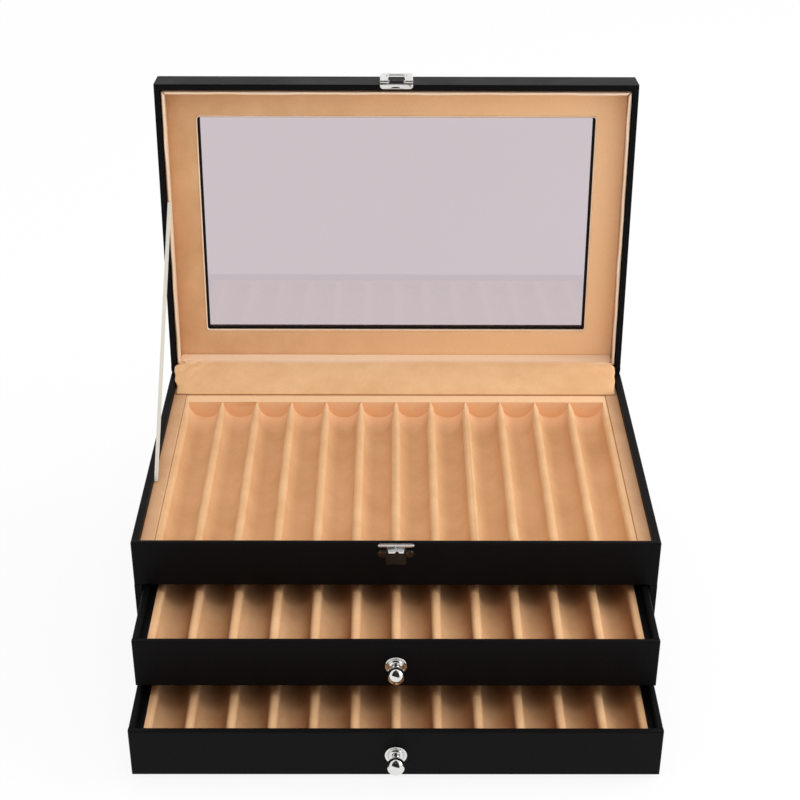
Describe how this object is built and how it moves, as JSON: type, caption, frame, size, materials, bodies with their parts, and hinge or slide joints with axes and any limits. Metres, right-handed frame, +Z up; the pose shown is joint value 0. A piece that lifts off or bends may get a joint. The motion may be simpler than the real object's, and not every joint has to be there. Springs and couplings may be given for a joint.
{
  "type": "pen collector chest",
  "caption": "Leatherette pen chest with a glazed hinged lid over a scalloped pen tray, and two sliding pen drawers with ball knobs below.",
  "frame": {"origin": "centre of the case's underside", "axes": "+X to the user's right as they face the drawers, +Y to the back, +Z up"},
  "size_m": [0.345, 0.3814, 0.3408],
  "materials": {
    "leatherette": "fine-grained black leatherette over board",
    "dark_board": "board faced with black leatherette",
    "suede": "tan suede over foam or board",
    "ribbon": "woven ribbon",
    "plated_steel": "bright plated",
    "pane": "clear"
  },
  "bodies": {
    "case": {"case_bottom": "dark_board", "case_left_side": "leatherette", "case_right_side": "leatherette", "case_back": "leatherette", "case_fascia": "leatherette", "compartment_floor": "dark_board", "drawer_divider": "dark_board", "compartment_left_liner": "suede", "compartment_right_liner": "suede", "top_pen_tray": "suede", "catch_plate": "plated_steel", "catch_screws": "plated_steel", "hinge_cushion": "suede", "stay_ribbon": "ribbon", "left_hinge_case_leaf": "plated_steel", "right_hinge_case_leaf": "plated_steel", "left_hinge_pin": "plated_steel", "right_hinge_pin": "plated_steel", "hinge_case_screws": "plated_steel"},
    "lid": {"lid_window_board": "leatherette", "lid_front_wall": "leatherette", "lid_back_wall": "leatherette", "lid_left_wall": "leatherette", "lid_right_wall": "leatherette", "lid_left_liner": "suede", "lid_right_liner": "suede", "lid_front_liner": "suede", "lid_back_liner": "suede", "lid_window_frame": "suede", "lid_glass": "pane", "left_hinge_lid_leaf": "plated_steel", "right_hinge_lid_leaf": "plated_steel", "hinge_lid_screws": "plated_steel", "hasp_plate": "plated_steel", "hasp_screws": "plated_steel", "hasp_pin": "plated_steel"},
    "hasp": {"hasp_loop": "plated_steel"},
    "drawer_1": {"drawer_1_front": "leatherette", "drawer_1_left_side": "leatherette", "drawer_1_right_side": "leatherette", "drawer_1_back": "leatherette", "drawer_1_bottom": "dark_board", "drawer_1_left_lining": "leatherette", "drawer_1_right_lining": "leatherette", "drawer_1_pen_tray": "suede", "drawer_1_rosette": "plated_steel", "drawer_1_knob": "plated_steel", "drawer_1_knob_screw": "plated_steel"},
    "drawer_2": {"drawer_2_front": "leatherette", "drawer_2_left_side": "leatherette", "drawer_2_right_side": "leatherette", "drawer_2_back": "leatherette", "drawer_2_bottom": "dark_board", "drawer_2_left_lining": "leatherette", "drawer_2_right_lining": "leatherette", "drawer_2_pen_tray": "suede", "drawer_2_rosette": "plated_steel", "drawer_2_knob": "plated_steel", "drawer_2_knob_screw": "plated_steel"}
  },
  "joints": [
    {"name": "lid_hinge", "type": "hinge", "parent": "case", "child": "lid", "pos_m": [0, 0.1125, 0.1133], "axis": [-1, 0, 0], "range_deg": [-95, 0], "deforming": ["hinge_cushion", "stay_ribbon"]},
    {"name": "hasp_hinge", "type": "hinge", "parent": "lid", "child": "hasp", "pos_m": [0, 0.13397, 0.33808], "axis": [-1, 0, 0], "range_deg": [-163, 7]},
    {"name": "drawer_1_slide", "type": "slide", "parent": "case", "child": "drawer_1", "axis": [0, -1, 0], "range_m": [-0.058, 0.1]},
    {"name": "drawer_2_slide", "type": "slide", "parent": "case", "child": "drawer_2", "axis": [0, -1, 0], "range_m": [-0.097, 0.06]}
  ]
}
